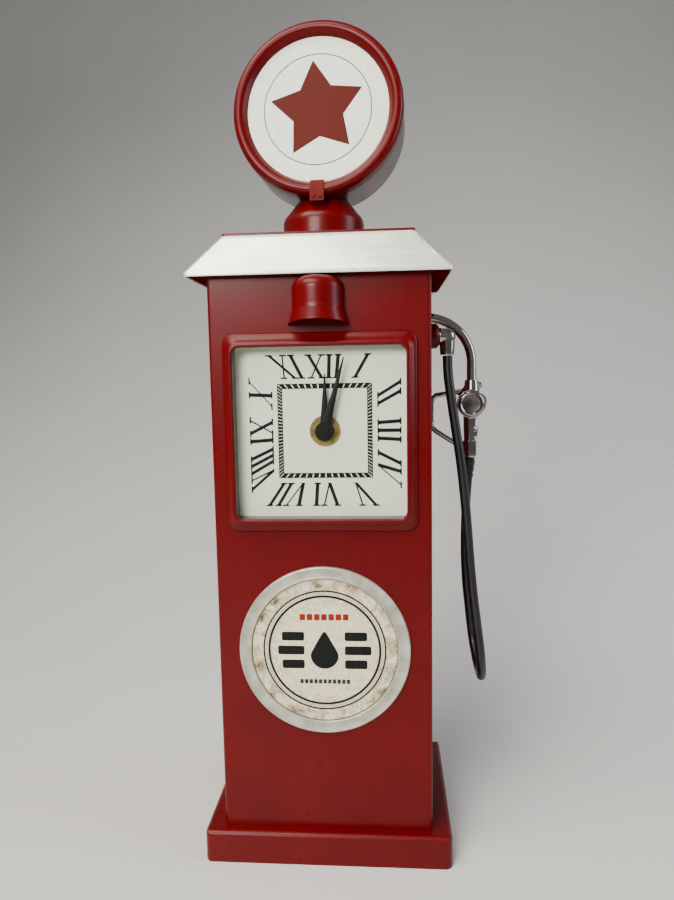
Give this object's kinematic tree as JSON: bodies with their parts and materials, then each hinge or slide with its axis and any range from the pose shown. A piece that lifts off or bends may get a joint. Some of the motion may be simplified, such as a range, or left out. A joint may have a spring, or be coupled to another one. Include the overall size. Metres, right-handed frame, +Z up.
{
  "type": "service station advertising clock",
  "caption": "Sheet-metal miniature fuel pump with a square clock in its front, round globe on top, round badge, hipped canopy, and a hose with a lift-off nozzle",
  "frame": {"origin": "middle of the plinth's underside, on the surface that the clock stands on", "axes": "+Z up the column, -Y out of the dial, +X to the right of the dial, towards the hose"},
  "size_m": [0.1556, 0.1063, 0.434],
  "materials": {
    "red_paint": "sprayed gloss enamel on tinplate, lightly dulled",
    "silver_paint": "pale silver lacquer, fine orange peel, worn at the hips",
    "grey_steel": "thin grey lacquer on rolled steel",
    "dull_zinc": "dull silver with grey mottling",
    "zinc_steel": "bright zinc plate",
    "chrome": "cast zinc alloy, chrome plated, slightly pitted",
    "brass": "turned brass",
    "printed_tin": "lithographed tin, off-white, mottled",
    "printed_dial": "matt printed card, pale green-cream",
    "clear_glass": "clear float glass",
    "black_enamel": "satin black",
    "black_plastic": "moulded, matt",
    "white_plastic": "moulded acetal",
    "black_hose": "smooth satin black",
    "dark_magnet": "sintered, dark grey",
    "copper_winding": "enamelled copper wire",
    "green_board": "solder mask",
    "battery_jacket": "plain shrink sleeve"
  },
  "bodies": {
    "root": {"plinth": "red_paint", "column_shell": "red_paint", "case_screws": "zinc_steel", "case_nuts": "zinc_steel", "canopy_soffit": "red_paint", "canopy_roof": "silver_paint", "canopy_top": "red_paint", "neck": "red_paint", "globe_stud": "zinc_steel", "clamp_nuts": "zinc_steel", "globe_band": "grey_steel", "globe_back": "red_paint", "globe_face": "printed_tin", "globe_rim": "red_paint", "globe_tab": "red_paint", "tab_rivets": "red_paint", "lamp_hood": "red_paint", "bezel": "red_paint", "glass": "clear_glass", "glass_liner": "grey_steel", "bezel_frame": "zinc_steel", "dial_plate": "printed_dial", "movement_case": "black_plastic", "movement_lid": "black_plastic", "threaded_bush": "brass", "bush_washer": "brass", "bush_nut": "brass", "stator": "zinc_steel", "coil": "copper_winding", "circuit_board": "green_board", "battery": "battery_jacket", "battery_contacts": "chrome", "badge_rim": "dull_zinc", "badge_face": "printed_tin", "badge_push_nuts": "zinc_steel", "hose_boss": "red_paint", "hose_elbow": "chrome", "hose": "black_hose", "hinge_leaves": "red_paint", "hinge_pins": "zinc_steel", "catch_magnet": "dark_magnet"},
    "minute_group": {"minute_arbor": "zinc_steel", "minute_hand": "black_enamel", "hand_cap": "black_enamel"},
    "hour_group": {"hour_wheel": "brass", "hour_hand": "black_enamel"},
    "motion_group": {"motion_wheel": "white_plastic", "setting_knob": "black_plastic"},
    "rotor_group": {"rotor": "dark_magnet"},
    "intermediate_group": {"intermediate_wheel": "white_plastic"},
    "seconds_group": {"seconds_wheel": "white_plastic"},
    "third_group": {"third_wheel": "white_plastic"},
    "centre_group": {"centre_wheel": "brass"},
    "nozzle_group": {"nozzle_body": "chrome", "nozzle_spout": "chrome", "nozzle_caps": "chrome", "nozzle_guard": "chrome", "hose_collar": "chrome"},
    "door_group": {"rear_door": "red_paint", "door_knob": "chrome"}
  },
  "joints": [
    {"name": "minute_turn", "type": "hinge", "parent": "root", "child": "minute_group", "pos_m": [0.002, -0.042, 0.2272], "axis": [0, 1, 0], "continuous": true},
    {"name": "hour_turn", "type": "hinge", "parent": "root", "child": "hour_group", "pos_m": [0.002, -0.042, 0.2272], "axis": [0, 1, 0], "continuous": true},
    {"name": "setting_turn", "type": "hinge", "parent": "root", "child": "motion_group", "pos_m": [0.011, -0.042, 0.2272], "axis": [0, 1, 0], "continuous": true},
    {"name": "rotor_turn", "type": "hinge", "parent": "root", "child": "rotor_group", "pos_m": [0.01308, -0.042, 0.23739], "axis": [0, 1, 0], "continuous": true},
    {"name": "intermediate_turn", "type": "hinge", "parent": "root", "child": "intermediate_group", "pos_m": [0.0065, -0.042, 0.23499], "axis": [0, 1, 0], "continuous": true},
    {"name": "seconds_turn", "type": "hinge", "parent": "root", "child": "seconds_group", "pos_m": [0.002, -0.042, 0.2272], "axis": [0, 1, 0], "continuous": true},
    {"name": "third_turn", "type": "hinge", "parent": "root", "child": "third_group", "pos_m": [-0.00536, -0.042, 0.23145], "axis": [0, 1, 0], "continuous": true},
    {"name": "centre_turn", "type": "hinge", "parent": "root", "child": "centre_group", "pos_m": [0.002, -0.042, 0.2272], "axis": [0, 1, 0], "continuous": true},
    {"name": "nozzle_pull", "type": "slide", "parent": "root", "child": "nozzle_group", "axis": [1, 0, 0], "range_m": [0, 0.014]},
    {"name": "door_swing", "type": "hinge", "parent": "root", "child": "door_group", "pos_m": [-0.0472, 0.0446, 0.212], "axis": [0, 0, 1], "range_deg": [0, 110]}
  ],
  "couplings": [
    {"joint": "hour_turn", "follows": "minute_turn", "ratio": 0.083333},
    {"joint": "setting_turn", "follows": "minute_turn", "ratio": -0.33333},
    {"joint": "intermediate_turn", "follows": "rotor_turn", "ratio": -0.16667},
    {"joint": "seconds_turn", "follows": "rotor_turn", "ratio": 0.033333},
    {"joint": "third_turn", "follows": "rotor_turn", "ratio": -0.0041667},
    {"joint": "centre_turn", "follows": "rotor_turn", "ratio": 0.00055556}
  ]
}
